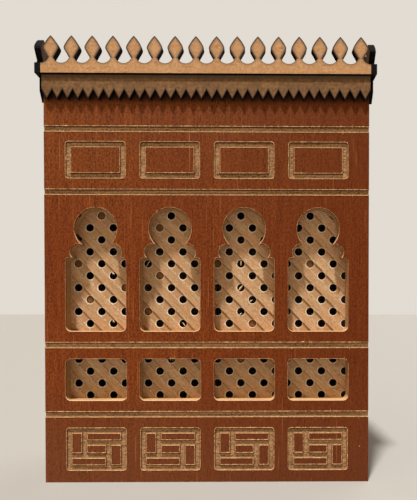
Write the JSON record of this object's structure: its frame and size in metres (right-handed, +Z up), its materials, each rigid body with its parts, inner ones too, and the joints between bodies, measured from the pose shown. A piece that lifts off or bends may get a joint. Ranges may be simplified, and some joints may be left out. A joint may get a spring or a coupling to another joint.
{
  "type": "tabletop model of a mashrabiya screen",
  "caption": "Shallow closed case with keyhole-arched lattice openings, routed fret panels, a toothed skirt and a crest of bud finials, standing on a flat base.",
  "frame": {"origin": "middle of the footprint, on the surface that the case stands on", "axes": "+Z up, +Y from the front towards the back, +X to the right of someone facing the front"},
  "size_m": [0.311, 0.107, 0.4086],
  "materials": {
    "red_veneer": "satin red-brown ribbon-grained veneer on fibreboard, with bare fibreboard in the routed grooves",
    "plain_board": "plain brown fibreboard, matt",
    "lattice_wood": "pale bare wood with a fine grain, matt",
    "cut_fibreboard": "tan bare fibreboard with charred dark cut edges, matt"
  },
  "bodies": {
    "root": {"front_panel": "red_veneer", "left_wall": "red_veneer", "right_wall": "red_veneer", "roof_board": "red_veneer", "back_board": "red_veneer", "floor_board": "plain_board", "front_lattice": "lattice_wood", "left_lattice": "lattice_wood", "right_lattice": "lattice_wood", "drilling_discs": "lattice_wood", "front_skirt": "cut_fibreboard", "left_skirt": "cut_fibreboard", "right_skirt": "cut_fibreboard", "back_skirt": "cut_fibreboard", "back_crest": "cut_fibreboard", "front_crest": "cut_fibreboard", "left_crest": "cut_fibreboard", "right_crest": "cut_fibreboard"}
  },
  "joints": []
}
